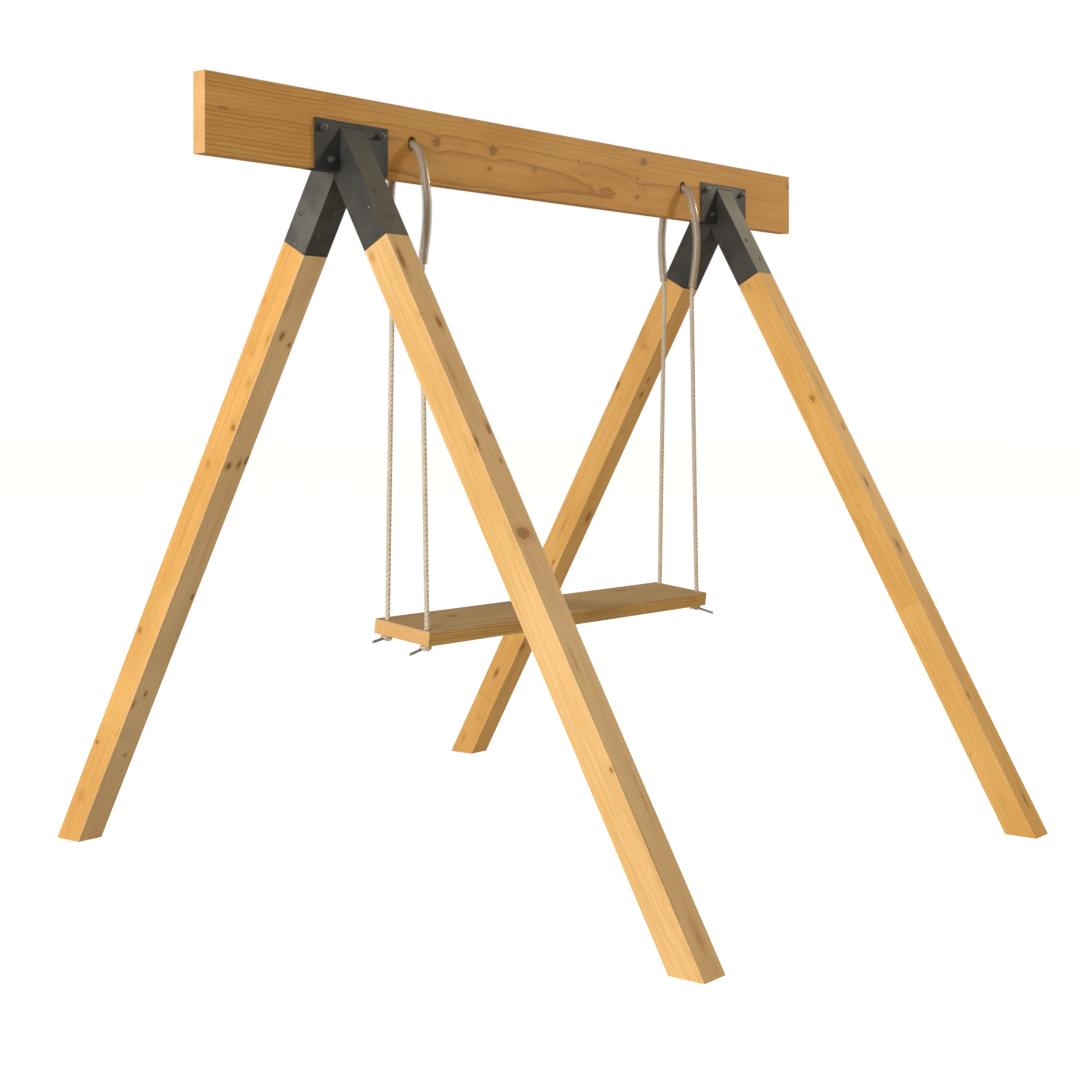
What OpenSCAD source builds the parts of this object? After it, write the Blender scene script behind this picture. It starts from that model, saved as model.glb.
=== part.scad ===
// Two-place garden swing: a beam on edge, two A-frames of square posts in
// steel brackets, and a long board seat on ropes that run through the beam.
// X runs along the beam, -Y is the front, Z is up, and the ground is Z = 0.

/* [Beam] */
// Length of the top beam
beam_l = 3000; // [2700:10:3600]
// Thickness of the top beam
beam_t = 45; // [40:1:60]
// Height of the top beam on edge
beam_h = 220; // [200:1:260]
// Height of the beam's underside above the ground
beam_z = 2087; // [1950:1:2300]

/* [A-frames] */
// Distance between the middles of the two A-frames
frame_gap = 1970; // [1800:10:2200]
// How far the A-frames stand off the beam's middle, towards its right end
frame_shift = 40; // [0:5:60]
// Side of the square posts
post_w = 95; // [90:1:110]
// Distance from the beam's middle plane to the outer edge of a foot
foot_reach = 1266; // [1100:1:1400]

/* [Brackets] */
// Width of a bracket's plate
plate_w = 300; // [280:5:340]
// Height of a bracket's plate
plate_h = 143; // [130:1:160]
// Thickness of a bracket's plate
plate_t = 5; // [4:0.5:8]
// Wall of a bracket's sleeve
sleeve_wall = 3; // [2:0.5:4]
// Length of a sleeve along its outer face
sleeve_l = 378; // [330:1:420]

/* [Fasteners] */
// Diameter of the through bolts
bolt_d = 10; // [8:1:12]
// Distance of the upper bolts from the bracket's middle
bolt_x_top = 120; // [110:1:130]
// Distance of the lower bolts from the bracket's middle
bolt_x_low = 91; // [75:1:110]
// Shank diameter of the post screws
screw_d = 6; // [5:0.5:8]

/* [Ropes] */
// Diameter of the rope
rope_d = 16; // [12:1:18]
// Outer diameter of the clear hose round the rope
hose_d = 28; // [26:1:30]
// Inner diameter of the clear hose
hose_bore = 20; // [19:1:22]
// Distance of each rope from the middle of the two A-frames
rope_x = 722; // [650:1:760]
// Diameter of the rope holes in the beam
rope_hole_d = 40; // [38:1:44]
// How far the rope holes' middles are above the beam's middle line
rope_hole_up = 4.5; // [4:0.5:6]

/* [Seat] */
// Length of the seat board
seat_l = 1486; // [1480:1:1700]
// Depth of the seat board
seat_w = 220; // [200:1:260]
// Thickness of the seat board
seat_t = 45; // [38:1:50]
// Height of the seat's top at its middle
seat_z = 762; // [700:1:850]
// How far the seat hangs down towards the front
seat_tilt = 6.5; // [4:0.5:9]
// Distance of the rope holes from the board's middle line
seat_hole_y = 80; // [70:1:85]
// Diameter of the rope holes in the seat
seat_hole_d = 22; // [21:1:24]
// Diameter of the toggle pins
pin_d = 9; // [8:0.5:10]

/* [Hidden] */
$fn = 32;

wood = [0.80, 0.60, 0.36];
wood_pale = [0.90, 0.71, 0.44];
steel = [0.29, 0.27, 0.25];
zinc = [0.66, 0.67, 0.66];
rod = [0.42, 0.45, 0.47];
cord = [0.80, 0.75, 0.66];
clear = [0.74, 0.71, 0.66, 0.6];

// A post's outer face meets the bracket's top edge this far from the middle plane
apex_y = 19;
top_z = beam_z + plate_h;
lean = atan((foot_reach - apex_y) / top_z);
line_l = top_z / cos(lean);
sleeve_s = line_l - sleeve_l;
xl = frame_shift - frame_gap / 2;
xr = frame_shift + frame_gap / 2;
rl = frame_shift - rope_x;
rr = frame_shift + rope_x;
rope_z = beam_z + beam_h / 2;
bolt_z_top = beam_z + plate_h - 25;
bolt_z_low = beam_z + 29;

// Half of the hose's line from the pivot up into the beam: distance from the
// middle plane, and height above the beam's underside
arch = [[81, -81.5], [80.5, -62], [78, -37], [74, -7], [69, 21], [64, 43],
        [58, 63], [51, 80], [43, 93], [34, 103], [24, 109], [12, 111.5]];
// The rear half stands off a little less than the front half
function rear_y(y) = y <= 24 ? y : 24 + (y - 24) * 0.816;
// Points where the ropes begin to swing
pivot_z = beam_z - 87;
pivot_front = 81;
pivot_rear = 70.5;
tail_front = [[81, -92.5], [80.5, -115], [78, -145], [73, -180], [67.5, -215], [62.5, -247]];
tail_rear = [[70.5, -92.5], [70, -115], [68, -145], [65, -180], [62.5, -205], [61, -220]];
run_front = [[81, -87], [80.5, -115], [78, -145], [73, -180], [67.5, -215], [63.5, -242],
             [61, -265], [60, -300], [60, -330]];
run_rear = [[70.5, -87], [70, -115], [68, -145], [65, -180], [61.5, -215], [59.8, -242],
            [59, -265], [59, -300], [59.5, -330]];
// The ropes end in a round tip this far above the seat's face, over each hole
tip = 3;
// Where the toggle pins point, how much they hang down, and how far they reach
pin_long = 68;
pin_short = 22;
knot_h = 10;

// ---- swept tubes in a plane of constant X -------------------------------
function unit2(v) = v / norm(v);
function tan_at(p, i) = unit2(p[min(i + 1, len(p) - 1)] - p[max(i - 1, 0)]);
function ring(x, c, t, r, n) =
  [for (k = [0 : n - 1]) let (a = 360 * (k + 0.5) / n)
     [x + r * cos(a), c[0] - t[1] * r * sin(a), c[1] + t[0] * r * sin(a)]];
function side_faces(m, n, o) =
  [for (i = [0 : m - 2], k = [0 : n - 1]) let (a = o + i * n + k, b = o + i * n + (k + 1) % n)
     [a, a + n, b + n, b]];

// Solid cord along points [y, z] with a radius at each point
module cord_along(x, p, r, n = 12) {
  m = len(p);
  pts = [for (i = [0 : m - 1]) each ring(x, p[i], tan_at(p, i), r[i], n)];
  polyhedron(points = pts,
    faces = concat(side_faces(m, n, 0),
      [[for (k = [0 : n - 1]) k], [for (k = [n - 1 : -1 : 0]) (m - 1) * n + k]]), convexity = 6);
}

// Open tube along points [y, z]
module hose_along(x, p, ro, ri, n = 12) {
  m = len(p);
  pts = concat([for (i = [0 : m - 1]) each ring(x, p[i], tan_at(p, i), ro, n)],
               [for (i = [0 : m - 1]) each ring(x, p[i], tan_at(p, i), ri, n)]);
  q = m * n;
  e = (m - 1) * n;
  polyhedron(points = pts,
    faces = concat(side_faces(m, n, 0),
      [for (f = side_faces(m, n, q)) [f[3], f[2], f[1], f[0]]],
      [for (k = [0 : n - 1]) let (j = (k + 1) % n) [k, j, q + j, q + k]],
      [for (k = [0 : n - 1]) let (j = (k + 1) % n) [e + j, e + k, q + e + k, q + e + j]]), convexity = 6);
}

// ---- timber -------------------------------------------------------------
module bolt_spots(x) {
  for (s = [-1, 1]) {
    translate([x + s * bolt_x_top, 0, bolt_z_top]) children();
    translate([x + s * bolt_x_low, 0, bolt_z_low]) children();
  }
}

module beam() color(wood) difference() {
  translate([-beam_l / 2, -beam_t / 2, beam_z]) cube([beam_l, beam_t, beam_h]);
  for (x = [xl, xr]) bolt_spots(x)
    rotate([90, 0, 0]) cylinder(d = bolt_d + 1, h = beam_t + 2, center = true);
  for (x = [rl, rr]) translate([x, 0, rope_z]) rotate([90, 0, 0]) {
    translate([0, rope_hole_up, 0]) cylinder(d = rope_hole_d, h = beam_t + 2, center = true, $fn = 48);
    // The hose has rounded the hole's lower lip
    for (s = [0, 1]) mirror([0, 0, s]) translate([0, 0, beam_t / 2 - 4])
      cylinder(d1 = hose_d + 6, d2 = hose_d + 15, h = 4.5, $fn = 48);
  }
}

// Frame of one front post: Z runs up its outer face, Y points inwards
module on_post(x) translate([x, -foot_reach, 0]) rotate([-lean, 0, 0]) children();

// Places of the screws: [along the sleeve from its lower end, sideways, face]
// face 0 is the outer face, 1 the inner face, 2 the side towards the beam's end
screws = [[62, 17, 0], [142, -16, 0], [64, -20, 1], [140, 12, 1], [100, 22, 2]];

module screw_spots(s) {
  for (c = screws) translate([0, 0, sleeve_s + c[0]])
    if (c[2] == 0) translate([c[1], 0, 0]) rotate([90, 0, 0]) children();
    else if (c[2] == 1) translate([c[1], post_w, 0]) rotate([-90, 0, 0]) children();
    else translate([s * post_w / 2, c[1], 0]) rotate([0, s * 90, 0]) children();
}

// Room for the beam and the plate at a front post's head
module head_room(x, y_plate, y_mid, z_low) {
  translate([x - 200, -y_plate, z_low]) cube([400, 200, 400]);
  translate([x - 200, -y_mid, beam_z - 400]) cube([400, 200, 800]);
}

module front_post(x, s) color(wood_pale) difference() {
  on_post(x) {
    translate([-post_w / 2, 0, -90]) cube([post_w, post_w, sleeve_s + 89.5]);
    translate([-post_w / 2 + sleeve_wall + 0.4, sleeve_wall + 0.4, sleeve_s - 20])
      cube([post_w - 2 * sleeve_wall - 0.8, post_w - 2 * sleeve_wall - 0.8, sleeve_l + 120]);
  }
  translate([x - 200, -foot_reach - 200, -300]) cube([400, 600, 300]);
  head_room(x, beam_t / 2 + plate_t + 1, 1.5, beam_z - 2);
  on_post(x) screw_spots(s) translate([0, 0, -46]) cylinder(d = screw_d + 0.2, h = 60, $fn = 24);
}

// ---- steel --------------------------------------------------------------
module front_bracket(x, s) color(steel) difference() {
  union() {
    translate([x - plate_w / 2, -beam_t / 2 - plate_t, beam_z]) cube([plate_w, plate_t, plate_h]);
    difference() {
      on_post(x) difference() {
        translate([-post_w / 2, 0, sleeve_s]) cube([post_w, post_w, sleeve_l + 120]);
        translate([-post_w / 2 + sleeve_wall, sleeve_wall, sleeve_s - 1])
          cube([post_w - 2 * sleeve_wall, post_w - 2 * sleeve_wall, sleeve_l + 140]);
      }
      head_room(x, beam_t / 2 + plate_t - 1, 0.5, beam_z - 0.5);
    }
  }
  bolt_spots(x) rotate([90, 0, 0]) cylinder(d = bolt_d + 1, h = 100);
  on_post(x) screw_spots(s) translate([0, 0, -10]) cylinder(d = screw_d + 1, h = 20, $fn = 24);
}

grip = beam_t / 2 + plate_t;
module bolts(x) color(zinc) bolt_spots(x) {
  rotate([90, 0, 0]) translate([0, 0, -grip - 2.5]) cylinder(d = bolt_d, h = 2 * grip + 2.5 + 17);
  rotate([-90, 0, 0]) translate([0, 0, grip + 2.2]) cylinder(d = 19.6, h = 6.4, $fn = 6);
}
module washers(x) color(zinc) bolt_spots(x) for (s = [0, 1]) mirror([0, s, 0])
  translate([0, -grip, 0]) rotate([90, 0, 0]) difference() {
    cylinder(d = 21, h = 2);
    translate([0, 0, -1]) cylinder(d = bolt_d + 0.8, h = 4);
  }
module nuts(x) color(zinc) bolt_spots(x) translate([0, -grip - 2.1, 0]) rotate([90, 0, 0])
  difference() {
    cylinder(d = 19.6, h = 8.4, $fn = 6);
    translate([0, 0, -1]) cylinder(d = bolt_d + 0.3, h = 11);
  }
module front_screws(x, s) color(zinc) on_post(x) screw_spots(s) difference() {
  union() {
    translate([0, 0, -44]) cylinder(d = screw_d, h = 45, $fn = 24);
    rotate_extrude($fn = 32) polygon([[0, 0.1], [6.5, 0.1], [6.5, 1.6], [5.4, 3.1], [3.4, 3.9], [0, 3.9]]);
  }
  translate([0, 0, 1.4]) cylinder(d = 5.4, h = 5, $fn = 6);
}

// ---- hoses and ropes ----------------------------------------------------
function arch_line(lift) = concat(
  [[-pivot_front, pivot_z + lift]],
  [for (i = [1 : len(arch) - 1]) [-arch[i][0], beam_z + arch[i][1]]],
  [[0, beam_z + 112]],
  [for (i = [len(arch) - 1 : -1 : 1]) [rear_y(arch[i][0]), beam_z + arch[i][1]]],
  [[pivot_rear, pivot_z + lift]]);
module hose_arch(x) color(clear) hose_along(x, arch_line(5.5), hose_d / 2, hose_bore / 2, 12);
module rope_bridge(x) color(cord)
  cord_along(x, arch_line(8.6), [for (i = [0 : 2 * len(arch)]) rope_d / 2], 10);

module hose_tail(x, p, s) color(clear)
  hose_along(x, [for (q = p) [s * q[0], beam_z + q[1]]], hose_d / 2, hose_bore / 2, 12);

// Middle of the round tip of a rope over its hole in the seat
function tip_y(s) = s * seat_hole_y * cos(seat_tilt) - tip * sin(seat_tilt);
function tip_z(s) = seat_z + s * seat_hole_y * sin(seat_tilt) + tip * cos(seat_tilt);
// Rings that round off an end: [way along the axis, radius], as parts of the radius
cap = [[-0.97, 0.25], [-0.83, 0.56], [-0.5, 0.866]];
module swing_rope(x, p, s) {
  a = [for (q = p) [s * q[0], beam_z + q[1]]];
  e = [tip_y(s), tip_z(s)];
  b = a[len(a) - 1];
  mid = [for (i = [1 : 5]) b + (e - b) * i / 6];
  t0 = unit2(a[1] - a[0]);
  t1 = unit2(e - b);
  r = rope_d / 2;
  line = concat([for (c = cap) a[0] + t0 * c[0] * r], a, mid, [e],
                [for (i = [2 : -1 : 0]) e - t1 * cap[i][0] * r]);
  rad = concat([for (c = cap) c[1] * r], [for (q = a) r], [for (q = mid) r], [r],
               [for (i = [2 : -1 : 0]) cap[i][1] * r]);
  color(cord) cord_along(x, line, rad, 12);
}

// ---- seat ---------------------------------------------------------------
module on_seat() translate([0, 0, seat_z]) rotate([seat_tilt, 0, 0]) children();
module seat_board() color(wood) on_seat() difference() {
  translate([frame_shift - seat_l / 2, -seat_w / 2, -seat_t]) cube([seat_l, seat_w, seat_t]);
  for (x = [rl, rr], y = [-seat_hole_y, seat_hole_y]) translate([x, y, 0]) {
    translate([0, 0, -seat_t - 1]) cylinder(d = seat_hole_d, h = seat_t + 2);
    translate([0, 0, -4]) cylinder(d1 = seat_hole_d, d2 = seat_hole_d + 7, h = 4.5);
    translate([0, 0, -seat_t - 0.5]) cylinder(d1 = seat_hole_d + 3, d2 = seat_hole_d, h = 2);
  }
}
module at_knot(x, s) on_seat() translate([x, s * seat_hole_y, -seat_t - knot_h]) children();
module knot(x, s, turn, droop) color(cord) at_knot(x, s) difference() {
  union() {
    rotate_extrude() polygon([[0, -10], [8, -10], [12, -8], [14.5, -4.5], [15, 0],
                              [14.5, 4.5], [12, 8], [8, 10], [0, 10]]);
    cylinder(d = rope_d, h = knot_h + seat_t - 6);
  }
  rotate([0, 0, turn]) rotate([0, 90 + droop, 0]) cylinder(d = pin_d + 0.3, h = 60, center = true);
}
module toggle_pin(x, s, turn, droop) color(rod) at_knot(x, s)
  rotate([0, 0, turn]) rotate([0, 90 + droop, 0]) {
    translate([0, 0, -pin_short + 1]) cylinder(d = pin_d, h = pin_long + pin_short - 2);
    translate([0, 0, -pin_short]) cylinder(d1 = pin_d - 2, d2 = pin_d, h = 1);
    translate([0, 0, pin_long - 1]) cylinder(d1 = pin_d, d2 = pin_d - 2, h = 1);
  }

// ---- sub-parts ----------------------------------------------------------
module post_front_left() front_post(xl, -1);
module post_front_right() front_post(xr, 1);
module post_rear_left() mirror([0, 1, 0]) front_post(xl, -1);
module post_rear_right() mirror([0, 1, 0]) front_post(xr, 1);
module bracket_front_left() front_bracket(xl, -1);
module bracket_front_right() front_bracket(xr, 1);
module bracket_rear_left() mirror([0, 1, 0]) front_bracket(xl, -1);
module bracket_rear_right() mirror([0, 1, 0]) front_bracket(xr, 1);
module post_screws_front_left() front_screws(xl, -1);
module post_screws_front_right() front_screws(xr, 1);
module post_screws_rear_left() mirror([0, 1, 0]) front_screws(xl, -1);
module post_screws_rear_right() mirror([0, 1, 0]) front_screws(xr, 1);

beam();
post_front_left();
post_rear_left();
post_front_right();
post_rear_right();
bracket_front_left();
bracket_rear_left();
bracket_front_right();
bracket_rear_right();
bolts(xl);  // bracket_bolts_left
bolts(xr);  // bracket_bolts_right
washers(xl);  // bolt_washers_left
washers(xr);  // bolt_washers_right
nuts(xl);  // bolt_nuts_left
nuts(xr);  // bolt_nuts_right
post_screws_front_left();
post_screws_rear_left();
post_screws_front_right();
post_screws_rear_right();
hose_arch(rl);  // hose_arch_left
hose_arch(rr);  // hose_arch_right
rope_bridge(rl);  // rope_bridge_left
rope_bridge(rr);  // rope_bridge_right
swing_rope(rl, run_front, -1);  // rope_front_left
swing_rope(rr, run_front, -1);  // rope_front_right
hose_tail(rl, tail_front, -1);  // hose_tail_front_left
hose_tail(rr, tail_front, -1);  // hose_tail_front_right
swing_rope(rl, run_rear, 1);  // rope_rear_left
swing_rope(rr, run_rear, 1);  // rope_rear_right
hose_tail(rl, tail_rear, 1);  // hose_tail_rear_left
hose_tail(rr, tail_rear, 1);  // hose_tail_rear_right
seat_board();
knot(rl, -1, 180, 12);  // rope_knot_front_left
knot(rl, 1, 188, 5);  // rope_knot_rear_left
knot(rr, -1, -63, 12);  // rope_knot_front_right
knot(rr, 1, 15, 8);  // rope_knot_rear_right
toggle_pin(rl, -1, 180, 12);  // toggle_pin_front_left
toggle_pin(rl, 1, 188, 5);  // toggle_pin_rear_left
toggle_pin(rr, -1, -63, 12);  // toggle_pin_front_right
toggle_pin(rr, 1, 15, 8);  // toggle_pin_rear_right
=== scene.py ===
import bpy
import math
import numpy as np
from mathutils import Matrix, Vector


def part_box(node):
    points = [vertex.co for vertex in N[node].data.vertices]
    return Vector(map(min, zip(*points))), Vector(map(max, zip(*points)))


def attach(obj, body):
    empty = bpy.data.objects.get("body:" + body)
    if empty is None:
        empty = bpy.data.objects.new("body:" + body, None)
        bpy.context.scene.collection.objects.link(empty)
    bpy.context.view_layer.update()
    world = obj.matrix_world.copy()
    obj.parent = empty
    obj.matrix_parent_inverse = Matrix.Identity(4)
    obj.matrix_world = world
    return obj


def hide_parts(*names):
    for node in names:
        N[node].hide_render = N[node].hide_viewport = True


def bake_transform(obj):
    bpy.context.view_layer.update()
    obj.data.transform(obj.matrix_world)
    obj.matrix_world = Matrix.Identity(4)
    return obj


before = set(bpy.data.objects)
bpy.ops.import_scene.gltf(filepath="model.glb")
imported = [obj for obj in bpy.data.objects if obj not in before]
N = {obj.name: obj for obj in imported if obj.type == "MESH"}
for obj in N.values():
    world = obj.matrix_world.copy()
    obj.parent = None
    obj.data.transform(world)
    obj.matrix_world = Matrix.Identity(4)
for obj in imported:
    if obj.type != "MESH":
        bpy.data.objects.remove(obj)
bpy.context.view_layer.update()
scene = bpy.context.scene

# ---------------------------------------------------------------- sizes
# Read from the frame's boxes, in metres.
b_lo, b_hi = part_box("beam")
BEAM_T, BEAM_H, BEAM_Z = b_hi.y - b_lo.y, b_hi.z - b_lo.z, b_lo.z


def mid(name, axis=0):
    lo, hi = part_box(name)
    return (lo[axis] + hi[axis]) / 2


XL, XR = mid("bracket_front_left"), mid("bracket_front_right")
ROPE_X = {"left": mid("rope_front_left"), "right": mid("rope_front_right")}
TOP_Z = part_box("bracket_front_left")[1].z          # top edge of the plates
PLATE_Y = BEAM_T / 2 + 0.005                       # outer face of the plates
POST_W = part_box("post_front_left")[1].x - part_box("post_front_left")[0].x
REACH = -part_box("post_front_left")[0].y
LEAN = math.atan((REACH - 0.019) / TOP_Z)
SLEEVE_S = TOP_Z / math.cos(LEAN) - 0.378          # where the sleeve starts, along the post
SEAT_X = mid("seat_board")
SEAT_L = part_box("seat_board")[1].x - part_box("seat_board")[0].x
SEAT_Z, SEAT_TILT, SEAT_W, SEAT_T, HOLE_Y = 0.762, math.radians(6.5), 0.220, 0.045, 0.080

# ---------------------------------------------------------------- mesh helpers


def add_mesh(name, verts, faces, mat, uv=None, smooth=True, sharp=None):
    me = bpy.data.meshes.new(name)
    me.from_pydata([tuple(map(float, v)) for v in verts], [], [tuple(map(int, f)) for f in faces])
    me.update()
    if uv is not None:
        layer = me.uv_layers.new(name="along")
        layer.data.foreach_set("uv", np.asarray(uv, np.float32).ravel())
    me.polygons.foreach_set("use_smooth", [smooth] * len(me.polygons))
    if sharp is not None:
        me.set_sharp_from_angle(angle=math.radians(sharp))
    me.materials.append(mat)
    ob = bpy.data.objects.new(name, me)
    scene.collection.objects.link(ob)
    return ob


def join(parts):
    """Several (verts, faces) as one."""
    V, F, n = [], [], 0
    for v, f in parts:
        V.append(np.asarray(v, float))
        F += [tuple(i + n for i in face) for face in f]
        n += len(v)
    return np.vstack(V), F


def spline(points, step=0.002):
    """A smooth curve through the points, sampled evenly; ends are kept."""
    p = np.asarray(points, float)
    ext = np.vstack([2 * p[0] - p[1], p, 2 * p[-1] - p[-2]])
    out = []
    for i in range(1, len(ext) - 2):
        p0, p1, p2, p3 = ext[i - 1 : i + 3]
        d = [max(np.linalg.norm(b - a), 1e-9) ** 0.5 for a, b in ((p0, p1), (p1, p2), (p2, p3))]
        m1 = (p1 - p0) / d[0] - (p2 - p0) / (d[0] + d[1]) + (p2 - p1) / d[1]
        m2 = (p2 - p1) / d[1] - (p3 - p1) / (d[1] + d[2]) + (p3 - p2) / d[2]
        m1, m2 = m1 * d[1], m2 * d[1]
        n = max(4, int(np.linalg.norm(p2 - p1) / 0.001))
        t = np.linspace(0, 1, n, endpoint=False)[:, None]
        out.append((2 * t**3 - 3 * t**2 + 1) * p1 + (t**3 - 2 * t**2 + t) * m1
                   + (-2 * t**3 + 3 * t**2) * p2 + (t**3 - t**2) * m2)
    out.append(p[-1:])
    c = np.vstack(out)
    s = np.concatenate([[0], np.cumsum(np.linalg.norm(np.diff(c, axis=0), axis=1))])
    n = max(3, int(round(s[-1] / step)) + 1)
    q = np.linspace(0, s[-1], n)
    return np.stack([np.interp(q, s, c[:, k]) for k in range(3)], 1), q


def frames(path, ref):
    """Tangents and two normals carried along the path without twist."""
    t = np.gradient(path, axis=0)
    t /= np.linalg.norm(t, axis=1)[:, None]
    a = np.zeros_like(path)
    r = np.asarray(ref, float)
    for i in range(len(path)):
        r = r - t[i] * (r @ t[i])
        r /= np.linalg.norm(r)
        a[i] = r
    return t, a, np.cross(t, a)


def grid_faces(rows, n):
    i = np.arange(rows - 1)[:, None] * n
    k = np.arange(n)[None, :]
    k2 = (k + 1) % n
    return np.stack([i + k, i + k2, i + n + k2, i + n + k], -1).reshape(-1, 4).tolist()


def tube(path, radius, n, ref=(1, 0, 0), caps=True):
    path = np.asarray(path, float)
    radius = np.broadcast_to(np.asarray(radius, float), (len(path),))
    t, a, b = frames(path, ref)
    ang = np.linspace(0, 2 * math.pi, n, endpoint=False)
    v = (path[:, None] + radius[:, None, None]
         * (np.cos(ang)[None, :, None] * a[:, None] + np.sin(ang)[None, :, None] * b[:, None])).reshape(-1, 3)
    f = grid_faces(len(path), n)
    if caps:
        f += [tuple(reversed(range(n))), tuple(range(len(v) - n, len(v)))]
    return v, f


def lathe(profile, n, origin, axis, ref=None):
    """profile: [(along, radius or radius(angle))], closed with end faces where the radius isn't 0."""
    axis = np.asarray(axis, float) / np.linalg.norm(axis)
    ref = np.array([1.0, 0, 0]) if ref is None else np.asarray(ref, float)
    if abs(axis @ ref) > 0.9:
        ref = np.array([0, 0, 1.0])
    a = ref - axis * (ref @ axis)
    a /= np.linalg.norm(a)
    b = np.cross(axis, a)
    ang = np.linspace(0, 2 * math.pi, n, endpoint=False)
    rows = []
    for h, r in profile:
        rr = r(ang) if callable(r) else np.full(n, float(r))
        rows.append(np.asarray(origin) + axis * h + rr[:, None] * (np.cos(ang)[:, None] * a + np.sin(ang)[:, None] * b))
    v = np.vstack(rows)
    f = grid_faces(len(rows), n)
    f += [tuple(reversed(range(n))), tuple(range(len(v) - n, len(v)))]
    return v, f


def hexagon(af, top=None):
    """Radius by angle of a hexagon of that width across flats, kept inside a circle."""
    def r(ang):
        q = (ang + math.pi / 6) % (math.pi / 3) - math.pi / 6
        h = af / 2 / np.cos(q)
        return h if top is None else np.minimum(h, top)
    return r


# ---------------------------------------------------------------- material helpers


class Tree:
    """Short names for the shader nodes."""

    def __init__(self, name):
        self.mat = bpy.data.materials.new(name)
        self.mat.use_nodes = True
        self.t = self.mat.node_tree
        self.t.nodes.clear()

    def node(self, kind, inputs=None, **props):
        n = self.t.nodes.new(kind)
        for k, v in props.items():
            setattr(n, k, v)
        for k, v in (inputs or {}).items():
            self.put(n.inputs[k], v)
        return n

    def put(self, socket, v):
        if isinstance(v, bpy.types.NodeSocket):
            self.t.links.new(v, socket)
        elif v is not None:
            if hasattr(socket.default_value, "__len__") and not hasattr(v, "__len__"):
                v = [v] * len(socket.default_value)
            if hasattr(socket.default_value, "__len__") and len(v) == 3 and len(socket.default_value) == 4:
                v = (*v, 1)
            socket.default_value = v

    def m(self, op, a, b=None, c=None, clamp=False):
        return self.node("ShaderNodeMath", {0: a, 1: b, 2: c}, operation=op, use_clamp=clamp).outputs[0]

    def v(self, op, a, b=None):
        n = self.node("ShaderNodeVectorMath", {0: a, 1: b}, operation=op)
        return n.outputs["Value"] if op in ("DOT_PRODUCT", "LENGTH", "DISTANCE") else n.outputs["Vector"]

    def xyz(self, x, y, z):
        return self.node("ShaderNodeCombineXYZ", {0: x, 1: y, 2: z}).outputs[0]

    def split(self, v):
        return self.node("ShaderNodeSeparateXYZ", {0: v}).outputs

    def noise(self, vec, scale=1.0, detail=2.0, rough=0.5, dist=0.0):
        n = self.node("ShaderNodeTexNoise", {"Vector": vec, "Scale": scale, "Detail": detail,
                                             "Roughness": rough, "Distortion": dist}, noise_dimensions="3D")
        return n.outputs[0]

    def ramp(self, fac, stops, interp="LINEAR"):
        n = self.node("ShaderNodeValToRGB", {0: fac})
        n.color_ramp.interpolation = interp
        e = n.color_ramp.elements
        e[0].position, e[0].color = stops[0][0], self.rgba(stops[0][1])
        e[1].position, e[1].color = stops[-1][0], self.rgba(stops[-1][1])
        for p, c in stops[1:-1]:
            x = e.new(p)
            x.color = self.rgba(c)
        return n.outputs[0]

    @staticmethod
    def rgba(c):
        return (c, c, c, 1) if not hasattr(c, "__len__") else (*c[:3], 1)

    def mix(self, fac, a, b, blend="MIX"):
        n = self.node("ShaderNodeMix", {0: fac, 6: a, 7: b}, data_type="RGBA", blend_type=blend)
        return n.outputs[2]

    def step(self, x, lo, hi):
        """0 below lo and 1 above hi, smoothly; lo may be over hi."""
        if lo <= hi:
            return self.node("ShaderNodeMapRange", {0: x, 1: lo, 2: hi, 3: 0.0, 4: 1.0},
                             interpolation_type="SMOOTHSTEP").outputs[0]
        return self.node("ShaderNodeMapRange", {0: x, 1: hi, 2: lo, 3: 1.0, 4: 0.0},
                         interpolation_type="SMOOTHSTEP").outputs[0]

    def bump(self, height, strength, distance, normal=None):
        return self.node("ShaderNodeBump", {"Height": height, "Strength": strength, "Distance": distance,
                                            "Normal": normal}).outputs[0]

    def surface(self, **inputs):
        n = self.node("ShaderNodeBsdfPrincipled", inputs)
        o = self.node("ShaderNodeOutputMaterial")
        self.t.links.new(n.outputs[0], o.inputs[0])
        return n


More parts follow.
